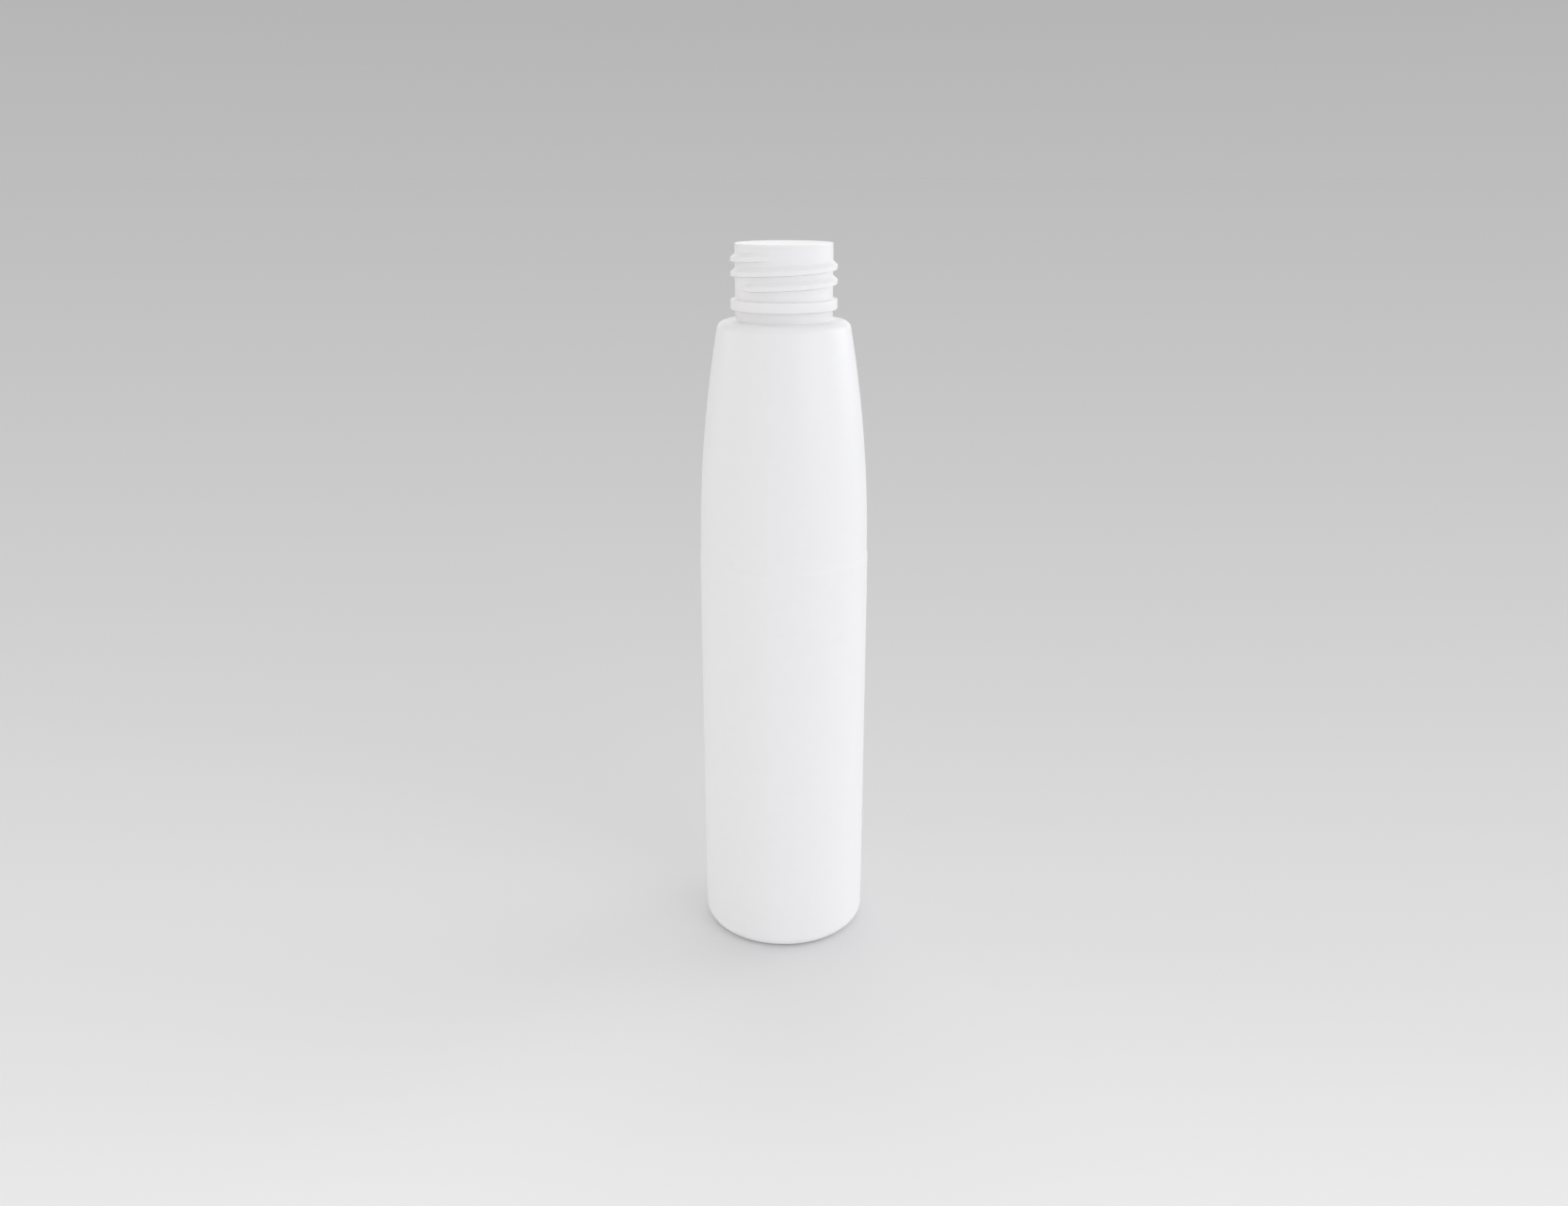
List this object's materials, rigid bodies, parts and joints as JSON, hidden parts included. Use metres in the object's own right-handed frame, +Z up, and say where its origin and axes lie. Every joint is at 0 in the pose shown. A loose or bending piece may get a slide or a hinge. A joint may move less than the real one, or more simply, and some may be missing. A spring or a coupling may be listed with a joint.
{
  "type": "cosmetic bottle",
  "caption": "Slim round white bottle with an upright lower wall, tapered upper body, small flat shoulder and beaded screw neck, its mouth closed by a peel-back membrane.",
  "frame": {"origin": "centre of the ring that the bottle stands on, at the lowest point of the base", "axes": "+Z up along the bottle's axis, from base to mouth; -Y is the side that faces the viewer, and the membrane turns up about the rim's +Y edge"},
  "size_m": [0.04, 0.04, 0.1685],
  "materials": {
    "bottle_plastic": "satin white polyethylene",
    "seal_film": "smooth white laminate film"
  },
  "bodies": {
    "bottle": {"bottle": "bottle_plastic"},
    "seal": {"mouth_seal": "seal_film"}
  },
  "joints": [
    {"name": "seal_peel", "type": "hinge", "parent": "bottle", "child": "seal", "pos_m": [0, 0.0109, 0.1682], "axis": [-1, 0, 0], "range_deg": [0, 110]}
  ]
}
